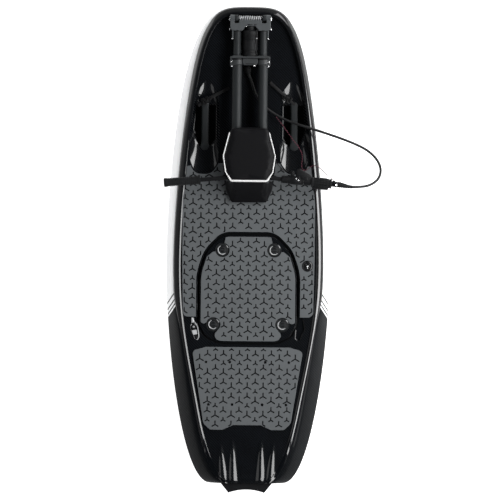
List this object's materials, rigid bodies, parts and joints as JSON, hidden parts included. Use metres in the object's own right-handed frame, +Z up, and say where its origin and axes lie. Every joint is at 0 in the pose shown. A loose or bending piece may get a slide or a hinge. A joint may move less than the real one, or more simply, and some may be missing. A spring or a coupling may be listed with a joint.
{
  "type": "jet-powered surfboard",
  "caption": "Jet-powered surfboard with carbon-look deck, foam pads, lift-off engine hatch, water-jet pump and a fold-down twin-tube handle pole.",
  "frame": {"origin": "centre of the board's floor rectangle, on the plane its flat bottom stands on, measured without the throttle cable and kill cord", "axes": "+X to starboard, +Y to the nose, +Z up"},
  "size_m": [0.8262, 1.8445, 0.254],
  "materials": {
    "carbon": "glossy black carbon-look lacquer with white flanks",
    "hull_gelcoat": "gloss",
    "eva_pad": "closed-cell foam, grooved",
    "hatch_black": "satin",
    "anodised_grey": "anodised",
    "steel": "brushed",
    "spring_steel": "bright",
    "black_plastic": "satin",
    "rubber_black": "matte",
    "foam_cover": "smooth coated fabric",
    "cast_alloy": "cast",
    "cable_black": "matte",
    "cord_red": "braided",
    "webbing": "woven",
    "engine_iron": "cast"
  },
  "bodies": {
    "hull": {"deck_shell": "carbon", "hull_bottom": "hull_gelcoat", "engine_block": "engine_iron", "pump_housing": "cast_alloy", "jet_nozzle": "cast_alloy", "intake_grate": "steel", "jet_shroud": "hatch_black", "stern_fin_left": "black_plastic", "stern_fin_right": "black_plastic", "main_deck_pad": "eva_pad", "rear_deck_pad": "eva_pad", "filler_cap": "black_plastic", "deck_cleat": "steel", "grab_bar_left": "rubber_black", "grab_bar_right": "rubber_black", "pole_base": "anodised_grey", "pivot_shaft": "steel", "torsion_spring": "spring_steel", "cable_gland": "rubber_black", "bridle_strap": "webbing"},
    "engine_hatch": {"hatch_cover": "carbon", "hatch_pad": "eva_pad", "latch_front_left": "hatch_black", "latch_front_right": "hatch_black", "latch_rear_left": "hatch_black", "latch_rear_right": "hatch_black"},
    "handle_pole": {"pole_crown": "anodised_grey", "inner_tube_left": "anodised_grey", "inner_tube_right": "anodised_grey", "outer_tube_left": "anodised_grey", "outer_tube_right": "anodised_grey", "mid_clamp": "anodised_grey", "pole_damper": "rubber_black", "bar_clamp": "anodised_grey", "chin_pad": "foam_cover", "handlebar": "black_plastic", "grip_left": "rubber_black", "throttle_clamp": "black_plastic", "throttle_grip": "rubber_black", "throttle_lever": "black_plastic", "cable_socket": "steel", "cable_boot": "rubber_black", "throttle_cable": "cable_black", "kill_cord": "cord_red", "switch_lead": "cable_black"},
    "jet_rotor": {"impeller": "cast_alloy"}
  },
  "joints": [
    {"name": "pole_fold", "type": "hinge", "parent": "hull", "child": "handle_pole", "pos_m": [0, 0.875, 0.192], "axis": [-1, 0, 0], "range_deg": [0, 78]},
    {"name": "hatch_lift", "type": "slide", "parent": "hull", "child": "engine_hatch", "axis": [0, 0, 1], "range_m": [0, 0.06]},
    {"name": "jet_spin", "type": "hinge", "parent": "hull", "child": "jet_rotor", "pos_m": [0, -0.735, 0.066], "axis": [0, 1, 0], "continuous": true}
  ]
}
